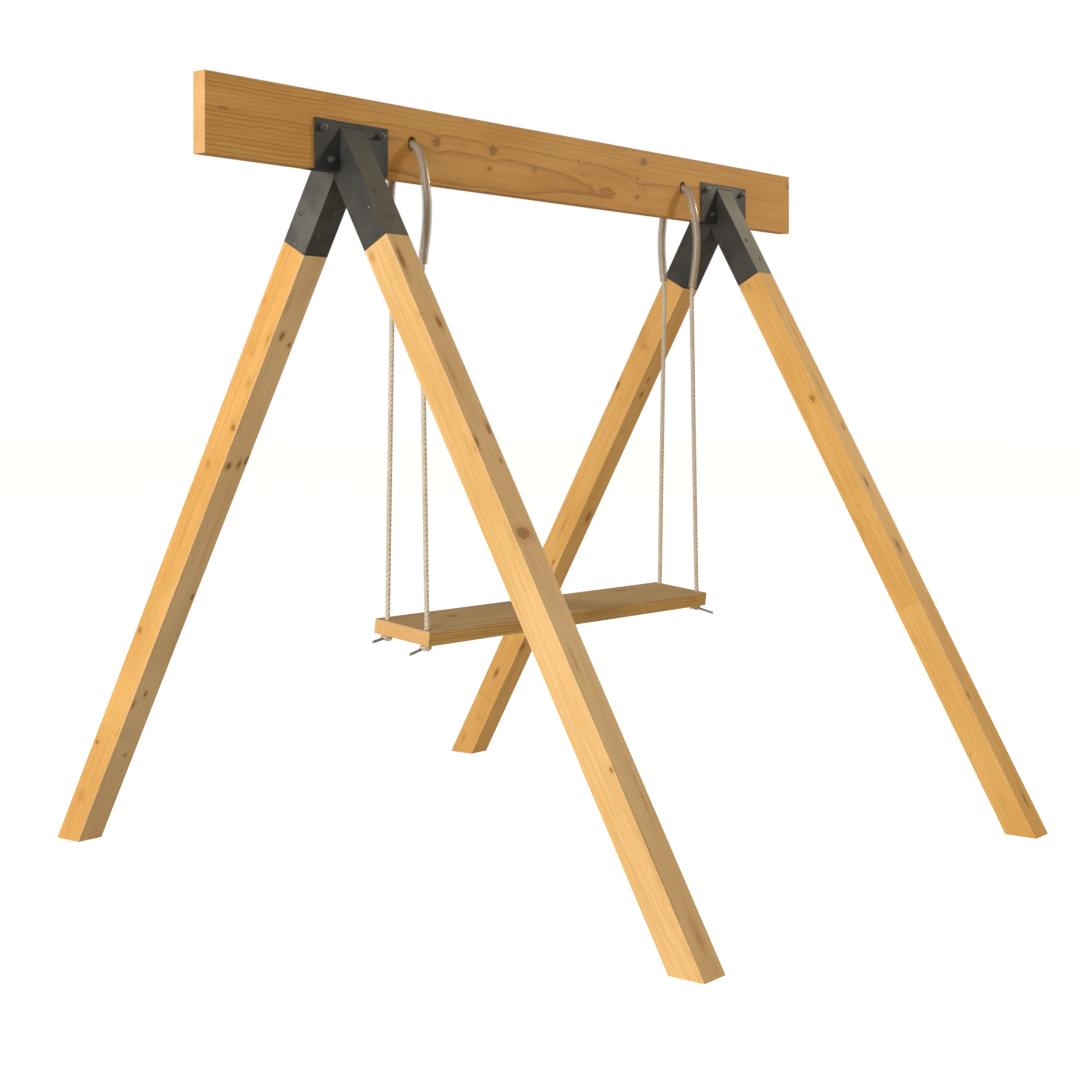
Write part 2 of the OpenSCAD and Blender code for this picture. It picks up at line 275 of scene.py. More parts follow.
def wood(name, origin, S, U, V, size, pith, seed, ring=0.0065, knots=(), marks=(), joints=(), light=(0.775, 0.475, 0.165),
         honey=(0.69, 0.390, 0.110), late=(0.41, 0.175, 0.038), contrast=0.5, wander=0.040, joint_tone=0.3, ring_knots=False,
         weathered=0.0, pale=(0.0, 0.0), half=None, arris_tone=(0.88, 0.62, 0.31), shift=(-0.05, 0.033),
         strength=(1.0, 1.0, 1.0)):
    """Planed softwood. S runs along the grain, U and V across it; size is (across U, across V).
    knots, dark, and marks, pale: (along, across U, across V, length, width, the axis that its face looks along).
    joints: where one length of board is finger-jointed to the next. pale: painted light, how much paler the two faces
    across V are painted."""
    g = Tree(name)
    p = g.node("ShaderNodeTexCoord").outputs["Object"]
    q = g.v("SUBTRACT", p, tuple(origin))
    s, u, v = (g.v("DOT_PRODUCT", q, tuple(d)) for d in (S, U, V))
    local = g.xyz(s, u, v)
    edge_u = g.step(g.m("ABSOLUTE", u), size[0] / 2 - 0.005, size[0] / 2 - 0.001)
    edge_v = g.step(g.m("ABSOLUTE", v), size[1] / 2 - 0.005, size[1] / 2 - 0.001)
    # Past each finger joint the board is another piece of wood
    idx, line = 0.0, None
    for sj in joints:
        zig = g.m("MULTIPLY", g.m("PINGPONG", g.m("ADD", u, 1.0), 0.0045), 2.2)
        d = g.m("SUBTRACT", g.m("SUBTRACT", s, sj), zig)
        idx = g.m("ADD", idx, g.m("GREATER_THAN", d, 0.0))
        ln = g.step(g.m("ABSOLUTE", d), 0.0012, 0.0003)
        line = ln if line is None else g.m("MAXIMUM", line, ln)
    base = g.xyz(g.m("ADD", s, g.m("MULTIPLY_ADD", idx, 3.7, seed)), u, v)
    slow = g.node("ShaderNodeTexNoise", {"Vector": g.v("MULTIPLY", base, (0.7, 3.5, 3.5)), "Scale": 1.0, "Detail": 0.0,
                                         "Roughness": 0.5}, noise_dimensions="3D")
    wave = g.node("ShaderNodeTexNoise", {"Vector": g.v("MULTIPLY", base, (2.6, 7.0, 7.0)), "Scale": 1.0, "Detail": 1.0,
                                         "Roughness": 0.5}, noise_dimensions="3D")
    fine = g.noise(g.v("MULTIPLY", base, (9.0, 60.0, 60.0)), 1.0, 2.0, 0.55)
    ragged = g.noise(g.v("MULTIPLY", base, (48.0, 95.0, 95.0)), 1.0, 3.0, 0.62)
    sl, wv = g.split(slow.outputs[1]), g.split(wave.outputs[1])
    off = []
    for k in (0, 1):
        off.append(g.m("ADD", g.m("MULTIPLY", g.m("SUBTRACT", sl[k], 0.5), wander * 2.0),
                       g.m("MULTIPLY", g.m("SUBTRACT", wv[k], 0.5), wander * 0.55)))
    pu = g.m("ADD", g.m("SUBTRACT", u, g.m("MULTIPLY_ADD", idx, shift[0], pith[0])), off[0])
    pv = g.m("ADD", g.m("SUBTRACT", v, g.m("MULTIPLY_ADD", idx, -shift[1], pith[1])), off[1])
    dist = g.m("SQRT", g.m("ADD", g.m("MULTIPLY", pu, pu), g.m("MULTIPLY", pv, pv)))
    ph = g.m("DIVIDE", dist, ring)

    def nearest(spots):
        out = None
        for ks, ku, kv, kl, kw, face in spots:
            sc = (2 / kl, 1 / 0.02 if face == "u" else 2 / kw, 1 / 0.02 if face == "v" else 2 / kw)
            n = g.node("ShaderNodeVectorMath", {0: local, 1: sc, 2: (-ks * sc[0], -ku * sc[1], -kv * sc[2])}, operation="MULTIPLY_ADD")
            r = g.v("LENGTH", n.outputs[0])
            out = r if out is None else g.m("MINIMUM", out, r)
        return None if out is None else g.m("ADD", out, g.m("MULTIPLY", g.m("SUBTRACT", ragged, 0.5), 1.7))

    kr, mr = nearest(knots), nearest(marks)
    for r, k in ((kr, 0.95), (mr, 0.35)):
        if r is not None:
            ph = g.m("ADD", ph, g.m("MULTIPLY", g.m("EXPONENT", g.m("MULTIPLY", g.m("MULTIPLY", r, r), -0.20)), k))
    ph = g.m("ADD", ph, g.m("MULTIPLY", g.m("SUBTRACT", fine, 0.5), 0.35))
    fr = g.m("FRACT", ph)
    per = g.node("ShaderNodeTexWhiteNoise", {"W": g.m("FLOOR", ph)}, noise_dimensions="1D").outputs[0]
    latew = g.ramp(fr, [(0.0, 0.10), (0.10, 0.02), (0.50, 0.08), (0.78, 0.38), (0.91, 1.0), (0.97, 0.75), (1.0, 0.10)])
    amount = g.m("MULTIPLY", latew, g.m("MULTIPLY_ADD", per, 0.80, 0.20))
    if len(joints) and strength != (1.0, 1.0, 1.0):
        k = g.m("MULTIPLY_ADD", g.m("GREATER_THAN", idx, 0.5), strength[1] - strength[0], strength[0])
        k = g.m("MULTIPLY_ADD", g.m("GREATER_THAN", idx, 1.5), strength[2] - strength[1], k)
        amount = g.m("MULTIPLY", amount, k, clamp=True)
    # Fibres, pores and slow change of hue
    fib = g.noise(g.v("MULTIPLY", base, (9.0, 800.0, 800.0)), 1.0, 3.0, 0.6)
    streak = g.noise(g.v("MULTIPLY", base, (1.8, 46.0, 46.0)), 1.0, 3.0, 0.55)
    big = g.noise(g.v("MULTIPLY", base, (2.4, 9.0, 9.0)), 1.0, 2.0, 0.5)
    hue = g.step(g.m("MULTIPLY_ADD", streak, 0.35, g.m("MULTIPLY", big, 0.65)), 0.32, 0.68)
    col = g.mix(hue, light, honey)
    col = g.mix(g.m("MULTIPLY", amount, contrast), col, late)
    lines = g.noise(g.v("MULTIPLY", base, (3.0, 230.0, 230.0)), 1.0, 3.0, 0.6)
    shade = g.m("ADD", g.m("MULTIPLY_ADD", g.m("SUBTRACT", fib, 0.5), 0.34, 1.0),
                g.m("MULTIPLY", g.m("SUBTRACT", lines, 0.5), 0.42))
    col = g.mix(1.0, col, g.xyz(shade, shade, shade), "MULTIPLY")
    flecks = g.step(g.noise(g.v("MULTIPLY", base, (30.0, 420.0, 420.0)), 1.0, 2.0, 0.5), 0.66, 0.76)
    col = g.mix(g.m("MULTIPLY", flecks, 0.20), col, (0.33, 0.15, 0.04))
    # Painted light: the two faces across V are painted paler by the amounts in pale, standing in for light those faces
    # lack
    if any(pale):
        far = size[1] / 2 - 0.004
        for amt, lo, hi in ((pale[0], -far, -far - 0.003), (pale[1], far, far + 0.003)):
            if amt:
                painted_face_light = g.mix(hue, (0.90, 0.650, 0.365), (0.80, 0.540, 0.275))
                painted_face_light = g.mix(g.m("MULTIPLY", amount, 0.45), painted_face_light, (0.46, 0.255, 0.095))
                painted_face_light = g.mix(1.0, painted_face_light, g.xyz(shade, shade, shade), "MULTIPLY")
                col = g.mix(g.m("MULTIPLY", g.step(v, lo, hi), amt), col, painted_face_light)
    if half:
        end = g.step(g.m("ABSOLUTE", s), half - 0.0026, half - 0.0008)
        grain = g.mix(hue, (0.76, 0.455, 0.200), (0.69, 0.390, 0.155))
        grain = g.mix(g.m("MULTIPLY", amount, 0.22), grain, (0.50, 0.270, 0.095))
        grain = g.mix(1.0, grain, g.xyz(shade, shade, shade), "MULTIPLY")
        col = g.mix(g.m("MULTIPLY", end, 0.85), col, grain)
    if weathered:
        up = g.step(v, size[1] / 2 - 0.006, size[1] / 2 - 0.0005)
        grey = g.mix(g.m("MULTIPLY", up, weathered), col, g.mix(streak, (0.46, 0.310, 0.155), (0.65, 0.450, 0.240)))
        col = g.mix(g.m("MULTIPLY", amount, g.m("MULTIPLY", up, 0.35)), grey, (0.20, 0.115, 0.05))
    if mr is not None:
        col = g.mix(g.m("MULTIPLY", g.m("MULTIPLY", g.step(mr, 1.35, 0.25), 0.62), g.m("MULTIPLY_ADD", g.step(ragged, 0.40, 0.60), 0.70, 0.30)),
                    col, (0.50, 0.205, 0.038))
    kmask = None
    if kr is not None:
        kmask = g.step(kr, 1.20, 0.70)
        rim = (0.105, 0.050, 0.012) if ring_knots else (0.270, 0.105, 0.020)
        heart = (0.37, 0.185, 0.045) if ring_knots else (0.36, 0.150, 0.028)
        kcol = g.ramp(kr, [(0.0, tuple(c * 0.55 for c in heart)), (0.22, heart), (0.55, tuple(c * 1.15 for c in heart)),
                           (0.80, rim), (0.97, rim), (1.0, rim)])
        col = g.mix(g.m("MULTIPLY", g.step(kr, 2.6, 0.9), 0.35), col, (0.46, 0.215, 0.058))
        col = g.mix(g.m("MULTIPLY", kmask, 0.80), col, kcol)
    if line is not None:
        col = g.mix(g.m("MULTIPLY", line, joint_tone), col, (0.20, 0.09, 0.03))
    # Arrises are tinted towards arris_tone in noisy patches: paler by default, darker on the beam
    arris = g.m("MULTIPLY", edge_u, edge_v)
    arris_patch = g.m("MULTIPLY", arris, g.step(g.noise(g.v("MULTIPLY", base, (16.0, 30.0, 30.0)), 1.0, 3.0, 0.6), 0.35, 0.7))
    col = g.mix(g.m("MULTIPLY", arris_patch, 0.45), col, arris_tone)
    height = g.m("ADD", g.m("MULTIPLY", amount, 0.30), g.m("MULTIPLY", fib, 0.45))
    if kmask is not None:
        height = g.m("ADD", height, g.m("MULTIPLY", g.m("SINE", g.m("MULTIPLY", kr, 22.0)), g.m("MULTIPLY", kmask, 0.25)))
    if line is not None:
        height = g.m("SUBTRACT", height, g.m("MULTIPLY", line, 0.8))
    rough = g.m("ADD", g.m("MULTIPLY_ADD", fib, 0.22, 0.46), g.m("MULTIPLY", amount, -0.06))
    g.surface(**{"Base Color": col, "Roughness": rough, "Specular IOR Level": 0.17,
                 "Normal": g.bump(height, 0.30, 0.0006)})
    return g.mat


def steel(name, base, pale, rough=0.58, metal=0.10, seed=0.0, up_sheen=0.1, sides=1.0):
    """Coated steel: cloudy tone, fine tooth and rub marks where the coat has thinned."""
    g = Tree(name)
    p = g.v("ADD", g.node("ShaderNodeTexCoord").outputs["Object"], (seed, seed * 1.7, 0.0))
    cloud = g.noise(p, 9.0, 4.0, 0.55)
    tooth = g.noise(p, 900.0, 2.0, 0.6)
    speck = g.noise(p, 210.0, 3.0, 0.65)
    rubs = g.noise(g.v("MULTIPLY", p, (260.0, 14.0, 30.0)), 1.0, 3.0, 0.6)
    col = g.mix(g.step(cloud, 0.30, 0.72), base, pale)
    col = g.mix(g.m("MULTIPLY", g.step(speck, 0.60, 0.72), 0.35), col, tuple(c * 0.55 for c in base))
    col = g.mix(g.m("MULTIPLY", g.step(rubs, 0.66, 0.76), 0.32), col, tuple(min(1, c * 2.1) for c in pale))
    # Painted shade: faces that look along Y, the flat plates, are painted darker and bluer
    nx, ny, nz = g.split(g.node("ShaderNodeNewGeometry").outputs["Normal"])
    plate_shade = g.step(g.m("ABSOLUTE", ny), 0.93, 0.985)
    col = g.mix(g.m("MULTIPLY", plate_shade, 0.9), col, g.mix(1.0, col, (0.60, 0.68, 0.80), "MULTIPLY"))
    # Painted light: where sides is set, faces that look along X are painted paler by that factor
    if sides != 1.0:
        col = g.mix(g.step(g.m("ABSOLUTE", nx), 0.90, 0.97), col, g.mix(1.0, col, (sides, sides, sides), "MULTIPLY"))
    # Painted sheen: upward faces are painted a speckled paler khaki, standing in for light they catch from above
    up = g.step(nz, 0.22, 0.46)
    sheen_mask = g.m("MULTIPLY", g.m("MULTIPLY", up, up_sheen), g.m("MULTIPLY_ADD", g.step(speck, 0.35, 0.65), 0.5, 0.75))
    col = g.mix(sheen_mask, col, (0.33, 0.275, 0.185))
    r = g.m("ADD", g.m("MULTIPLY_ADD", cloud, 0.22, rough - 0.11), g.m("MULTIPLY", g.m("SUBTRACT", speck, 0.5), 0.16))
    n = g.bump(tooth, 0.16, 0.0003)
    n = g.bump(cloud, 0.10, 0.004, n)
    g.surface(**{"Base Color": col, "Metallic": metal, "Roughness": r, "Specular IOR Level": 0.32, "Normal": n})
    return g.mat


def plated(name, base, dark, rough=0.34, seed=0.0, metal=0.9):
    """Bare or zinc-plated metal with drawn lines, small stains and spangle."""
    g = Tree(name)
    p = g.v("ADD", g.node("ShaderNodeTexCoord").outputs["Object"], (seed, 0.0, seed))
    spangle = g.node("ShaderNodeTexVoronoi", {"Vector": p, "Scale": 420.0}).outputs["Color"]
    sp = g.split(spangle)[0]
    stain = g.step(g.noise(p, 130.0, 4.0, 0.6), 0.48, 0.68)
    drawn = g.noise(g.v("MULTIPLY", p, (60.0, 1400.0, 1400.0)), 1.0, 2.0, 0.5)
    col = g.mix(g.m("MULTIPLY", stain, 0.65), base, dark)
    col = g.mix(g.m("MULTIPLY", sp, 0.22), col, tuple(min(1, c * 1.35) for c in base))
    r = g.m("ADD", g.m("MULTIPLY_ADD", stain, 0.20, rough), g.m("MULTIPLY", drawn, 0.10))
    g.surface(**{"Base Color": col, "Metallic": metal, "Roughness": r, "Normal": g.bump(drawn, 0.14, 0.0002)})
    return g.mat


def rope_mat(name):
    """Laid rope: yarns cross each strand on the slant, pale where they stand up, with painted shade, darker brown,
    between them.
    """
    g = Tree(name)
    uv = g.split(g.node("ShaderNodeUVMap", uv_map="along").outputs[0])
    p = g.node("ShaderNodeTexCoord").outputs["Object"]
    # u runs once round the strand, v counts metres along it
    yarn = g.m("SINE", g.m("MULTIPLY", g.m("ADD", g.m("MULTIPLY", uv[0], 7.0), g.m("MULTIPLY", uv[1], 150.0)), 2 * math.pi))
    hair = g.noise(g.v("MULTIPLY", p, (1500.0, 1500.0, 500.0)), 1.0, 3.0, 0.65)
    tone = g.noise(p, 22.0, 3.0, 0.6)
    up = g.m("MULTIPLY_ADD", yarn, 0.5, 0.5)
    col = g.mix(g.step(tone, 0.3, 0.7), (0.61, 0.520, 0.395), (0.685, 0.605, 0.480))
    # Painted shade: where the yarns dip, the colour is darkened towards brown
    col = g.mix(g.m("MULTIPLY", g.step(up, 0.45, 0.0), 0.26), col, (0.44, 0.350, 0.245))
    col = g.mix(g.m("MULTIPLY", g.step(hair, 0.56, 0.72), 0.26), col, (0.84, 0.77, 0.64))
    h = g.m("ADD", g.m("MULTIPLY", g.m("POWER", up, 0.6), 1.0), g.m("MULTIPLY", hair, 0.35))
    g.surface(**{"Base Color": col, "Roughness": 0.86, "Specular IOR Level": 0.2, "Sheen Weight": 0.35,
                 "Sheen Roughness": 0.5, "Normal": g.bump(h, 0.20, 0.0006)})
    return g.mat


def hose_mat(name):
    """Clear soft hose: it has a milky haze, die lines run along it, and towards its rims it is less clear and painted
    darker, painted shade in place of light bent by thick plastic.
    """
    g = Tree(name)
    uv = g.split(g.node("ShaderNodeUVMap", uv_map="along").outputs[0])
    p = g.node("ShaderNodeTexCoord").outputs["Object"]
    lines = g.noise(g.xyz(g.m("MULTIPLY", uv[0], 40.0), g.m("MULTIPLY", uv[1], 3.0), 0.0), 1.0, 2.0, 0.5)
    haze = g.noise(p, 34.0, 3.0, 0.55)
    side = g.node("ShaderNodeLayerWeight", {"Blend": 0.45}).outputs["Facing"]
    cover = g.m("ADD", g.m("MULTIPLY", g.m("POWER", side, 2.2), 0.80), g.m("MULTIPLY_ADD", haze, 0.22, 0.12), clamp=True)
    # Painted shade: the colour darkens from face-on towards the rims
    col = g.ramp(side, [(0.0, (0.66, 0.58, 0.49)), (0.52, (0.60, 0.53, 0.45)), (0.74, (0.34, 0.30, 0.25)), (1.0, (0.17, 0.15, 0.125))])
    n = g.bump(g.m("ADD", lines, g.m("MULTIPLY", haze, 0.4)), 0.20, 0.0006)
    body = g.node("ShaderNodeBsdfPrincipled", {"Base Color": col, "Roughness": 0.20, "Specular IOR Level": 0.70,
                                               "Coat Weight": 0.5, "Coat Roughness": 0.10, "Normal": n})
    clear = g.node("ShaderNodeBsdfTransparent", {"Color": (0.93, 0.905, 0.87)})
    mixer = g.node("ShaderNodeMixShader", {0: cover, 1: clear.outputs[0], 2: body.outputs[0]})
    out = g.node("ShaderNodeOutputMaterial")
    g.t.links.new(mixer.outputs[0], out.inputs[0])
    return g.mat


# ---------------------------------------------------------------- timber
X, Y, Z = Vector((1, 0, 0)), Vector((0, 1, 0)), Vector((0, 0, 1))
W = {}
W["beam"] = wood("beam_wood", (0, 0, BEAM_Z + BEAM_H / 2), X, Z, Y, (BEAM_H, BEAM_T), (-0.300, 0.170), 1.7, ring=0.0096,
                 knots=[(-0.575, 0.018, -0.0225, 0.030, 0.024, "v"), (-0.307, 0.022, -0.0225, 0.032, 0.026, "v"),
                        (-0.324, -0.036, -0.0225, 0.016, 0.009, "v"), (0.141, 0.035, -0.0225, 0.014, 0.008, "v"),
                        (0.514, 0.069, -0.0225, 0.036, 0.022, "v"), (0.478, 0.008, -0.0225, 0.018, 0.010, "v"),
                        (0.478, -0.056, -0.0225, 0.020, 0.011, "v"), (1.487, 0.071, -0.0225, 0.022, 0.018, "v"),
                        (-1.438, 0.016, -0.0225, 0.034, 0.007, "v"),
                        (-0.90, 0.03, 0.0225, 0.034, 0.024, "v"), (0.24, -0.03, 0.0225, 0.030, 0.026, "v"),
                        (0.86, 0.05, 0.0225, 0.028, 0.016, "v"), (-0.10, 0.06, 0.0225, 0.018, 0.010, "v")],
                 marks=[(0.508, -0.022, -0.0225, 0.055, 0.034, "v"), (-1.334, -0.020, -0.0225, 0.016, 0.010, "v"),
                        (0.166, -0.009, -0.0225, 0.030, 0.020, "v"), (-0.097, -0.022, -0.0225, 0.022, 0.012, "v"),
                        (0.348, 0.093, -0.0225, 0.020, 0.014, "v")],
                 joints=[-1.050, 0.960], light=(0.735, 0.405, 0.112), honey=(0.640, 0.305, 0.066), late=(0.41, 0.165, 0.022),
                 contrast=0.95, wander=0.026, joint_tone=0.35, ring_knots=True, half=(b_hi.x - b_lo.x) / 2,
                 arris_tone=(0.30, 0.215, 0.125), shift=(0.25, 0.02), strength=(1.35, 1.05, 0.5))


def post_wood(name, side, seed, pith, knots, marks, joints, tone=0.3, tint=(1, 1, 1), pale=(0.0, 0.0)):
    y = -1 if side == "front" else 1
    x = XL if name.endswith("left") else XR
    d = Vector((0, -y * math.sin(LEAN), math.cos(LEAN)))      # up along the post
    i = Vector((0, -y * math.cos(LEAN), -math.sin(LEAN)))     # from its outer face inwards
    o = Vector((x, y * REACH, 0)) + i * (POST_W / 2)
    knots = [(*k[:3], k[3] * 0.86, k[4] * 0.86, k[5]) for k in knots]
    tones = [tuple(a * b for a, b in zip(c, tint)) for c in ((0.775, 0.475, 0.165), (0.69, 0.390, 0.110), (0.46, 0.200, 0.040))]
    return wood("post_wood_" + name, o, d, X, i, (POST_W, POST_W), pith, seed, ring=0.0070, knots=knots, marks=marks,
                joints=joints, joint_tone=tone, contrast=0.36, wander=0.018, light=tones[0], honey=tones[1],
                late=tones[2], pale=pale)


H = POST_W / 2
W["post_front_left"] = post_wood("front_left", "front", 11.3, (0.12, -0.05),
                                 [(2.096, -0.028, -H, 0.085, 0.020, "v"), (1.890, 0.018, -H, 0.042, 0.024, "v"),
                                  (1.554, 0.034, -H, 0.036, 0.018, "v"), (1.515, -0.036, -H, 0.042, 0.013, "v"),
                                  (1.453, 0.028, -H, 0.018, 0.010, "v"), (1.235, -0.007, -H, 0.040, 0.062, "v"),
                                  (0.567, -H, -0.040, 0.018, 0.010, "u"), (1.10, 0.01, H, 0.040, 0.026, "v"),
                                  (0.70, H, 0.02, 0.042, 0.026, "u")],
                                 [(2.147, -H, 0.030, 0.050, 0.026, "u"), (1.913, -H, -0.043, 0.024, 0.012, "u"),
                                  (1.498, -H, -0.040, 0.050, 0.014, "u"), (0.861, -0.019, -H, 0.14, 0.020, "v"),
                                  (0.115, 0.004, -H, 0.13, 0.034, "v"), (0.50, 0.02, -H, 0.20, 0.016, "v"),
                                  (1.72, -0.02, -H, 0.16, 0.022, "v"), (0.30, -0.043, -H, 0.42, 0.012, "v")],
                                 [], tint=(1.03, 1.08, 1.32), pale=(0.45, 0.5))
W["post_rear_left"] = post_wood("rear_left", "rear", 23.9, (-0.11, 0.06),
                                [(1.591, -H, 0.031, 0.026, 0.018, "u"), (1.913, -0.011, H, 0.030, 0.020, "v"),
                                 (1.884, 0.032, H, 0.020, 0.012, "v"), (1.467, -0.026, H, 0.026, 0.020, "v"),
                                 (1.473, 0.016, H, 0.032, 0.014, "v"), (1.483, 0.043, H, 0.034, 0.018, "v"),
                                 (0.629, -0.004, H, 0.024, 0.014, "v"), (0.595, -0.036, H, 0.028, 0.009, "v"),
                                 (0.389, 0.011, H, 0.016, 0.011, "v"), (0.394, -H, -0.032, 0.018, 0.014, "u"),
                                 (0.825, -H, -0.030, 0.022, 0.012, "u"), (0.990, 0.036, H, 0.022, 0.012, "v")],
                                [(1.985, -H, -0.036, 0.030, 0.014, "u"), (1.897, -H, 0.032, 0.050, 0.020, "u"),
                                 (1.834, -H, -0.011, 0.040, 0.030, "u"), (1.740, -H, 0.022, 0.050, 0.026, "u"),
                                 (1.440, -H, -0.012, 0.044, 0.030, "u"), (2.032, -0.034, H, 0.12, 0.014, "v"),
                                 (1.037, -H, -0.018, 0.018, 0.010, "u"), (0.194, -H, -0.010, 0.070, 0.036, "u"),
                                 (0.578, 0.024, H, 0.022, 0.014, "v")],
                                [0.46], tone=0.20, tint=(1.04, 0.97, 0.92), pale=(0.3, 0.95))
W["post_front_right"] = post_wood("front_right", "front", 37.1, (0.10, 0.07),
                                  [(1.669, -H, -0.021, 0.030, 0.020, "u"), (1.317, -0.011, -H, 0.050, 0.022, "v"),
                                   (1.067, -0.008, -H, 0.050, 0.026, "v"), (1.537, 0.018, -H, 0.034, 0.016, "v"),
                                   (0.510, -0.030, -H, 0.022, 0.014, "v"),
                                   (0.127, 0.005, -H, 0.050, 0.014, "v")],
                                  [(2.020, -0.034, -H, 0.070, 0.016, "v"), (1.915, 0.006, -H, 0.14, 0.020, "v"), (1.720, -0.010, -H, 0.12, 0.026, "v"),
                                   (1.188, -H, 0.034, 0.050, 0.016, "u"), (0.754, -H, 0.039, 0.030, 0.014, "u"),
                                   (0.330, -H, 0.035, 0.024, 0.012, "u"), (1.252, -H, -0.002, 0.018, 0.012, "u"),
                                   (2.152, -H, 0.009, 0.040, 0.016, "u"), (0.600, -0.022, -H, 0.10, 0.018, "v")],
                                  [0.86], tone=0.12, tint=(1.07, 1.03, 0.94), pale=(0.0, 0.3))
W["post_rear_right"] = post_wood("rear_right", "rear", 49.6, (-0.10, -0.08),
                                 [                                  (1.714, -H, -0.040, 0.050, 0.014, "u"), (0.959, -H, 0.024, 0.024, 0.012, "u"),
                                  (1.177, 0.013, H, 0.050, 0.026, "v"), (0.573, -0.032, H, 0.050, 0.022, "v"),
                                  (0.415, -H, -0.004, 0.050, 0.016, "u"), (1.723, -0.006, H, 0.030, 0.018, "v"),
                                  (1.788, -0.005, H, 0.028, 0.014, "v")],
                                 [(1.948, -H, -0.030, 0.080, 0.052, "u"), (1.904, -H, -0.006, 0.036, 0.070, "u"),
                                  (1.948, -H, -0.028, 0.060, 0.040, "u"),
                                  (1.676, -H, -0.005, 0.020, 0.012, "u"), (0.205, -H, 0.005, 0.050, 0.016, "u"),
                                  (1.10, -H, 0.0, 0.14, 0.020, "u"), (0.090, -H, -0.016, 0.07, 0.02, "u"),
                                  (1.569, -0.012, H, 0.044, 0.020, "v")],
                                 [0.294], tone=0.60, tint=(1.05, 0.98, 0.92), pale=(0.3, 0.15))
seat_n = Vector((0, -math.sin(SEAT_TILT), math.cos(SEAT_TILT)))
seat_y = Vector((0, math.cos(SEAT_TILT), math.sin(SEAT_TILT)))
seat_o = Vector((0, 0, SEAT_Z))
T = SEAT_T / 2
W["seat_board"] = wood("seat_wood", Vector((SEAT_X, 0, SEAT_Z)) - seat_n * T, X, seat_y, seat_n,
                       (SEAT_W, SEAT_T), (-0.045, -0.085), 61.2, ring=0.0072,
                       knots=[(-0.487, 0.025, T, 0.040, 0.020, "v"), (0.452, 0.060, T, 0.034, 0.018, "v")],
                       marks=[(-0.30, -0.085, T, 0.30, 0.020, "v"), (0.30, -0.100, T, 0.34, 0.020, "v"),
                              (-0.54, 0.090, T, 0.20, 0.016, "v"), (0.66, -0.110, 0.004, 0.09, 0.030, "u"),
                              (-0.34, -0.110, -0.004, 0.12, 0.022, "u"), (0.10, -0.110, 0.006, 0.22, 0.014, "u")],
                       light=(0.68, 0.430, 0.150), honey=(0.58, 0.340, 0.098), late=(0.25, 0.118, 0.026), contrast=0.90,
                       wander=0.022, weathered=0.85, half=SEAT_L / 2)


def ease(node, width, segments, mat, angle=32):
    """The CAD node stays as it is; modifiers ease its arrises."""
    o = N[node]
    w = o.modifiers.new("weld", "WELD")
    w.merge_threshold = 0.00002
    d = o.modifiers.new("flat", "DECIMATE")
    d.decimate_type = "DISSOLVE"
    d.angle_limit = math.radians(1.5)
    b = o.modifiers.new("ease", "BEVEL")
    b.width, b.segments, b.limit_method, b.angle_limit = width, segments, "ANGLE", math.radians(angle)
    b.use_clamp_overlap = True
    b.harden_normals = False
    n = o.modifiers.new("shade", "WEIGHTED_NORMAL")
    n.keep_sharp = True
    n.weight = 80
    o.data.polygons.foreach_set("use_smooth", [True] * len(o.data.polygons))
    for i in range(max(1, len(o.material_slots))):
        if len(o.data.materials) <= i:
            o.data.materials.append(mat)
        o.data.materials[i] = mat


for n, m in W.items():
    ease(n, 0.0035 if n.startswith("post") else 0.003, 3, m)

# ---------------------------------------------------------------- brackets
M_STEEL = {"left": steel("bracket_steel_left", (0.044, 0.042, 0.039), (0.078, 0.073, 0.065), seed=0.3, up_sheen=0.24),
           "right": steel("bracket_steel_right", (0.041, 0.039, 0.036), (0.072, 0.067, 0.060), seed=2.9, up_sheen=0.36)}
# This copy paints the rear left bracket's faces that look along X paler, painted light
M_REAR = steel("bracket_steel_rear_left", (0.045, 0.043, 0.040), (0.080, 0.075, 0.067), seed=5.1, up_sheen=0.15, sides=1.9)
M_BOLT = plated("fastener_steel", (0.150, 0.148, 0.142), (0.060, 0.058, 0.054), rough=0.44, metal=0.6)
M_SCREW = plated("screw_steel", (0.165, 0.158, 0.145), (0.075, 0.070, 0.062), rough=0.42, seed=0.6)
M_ROD = plated("rod_steel", (0.36, 0.375, 0.395), (0.20, 0.205, 0.215), rough=0.42, seed=1.4, metal=0.45)
M_ROPE = rope_mat("laid_rope")
M_HOSE = hose_mat("clear_hose")

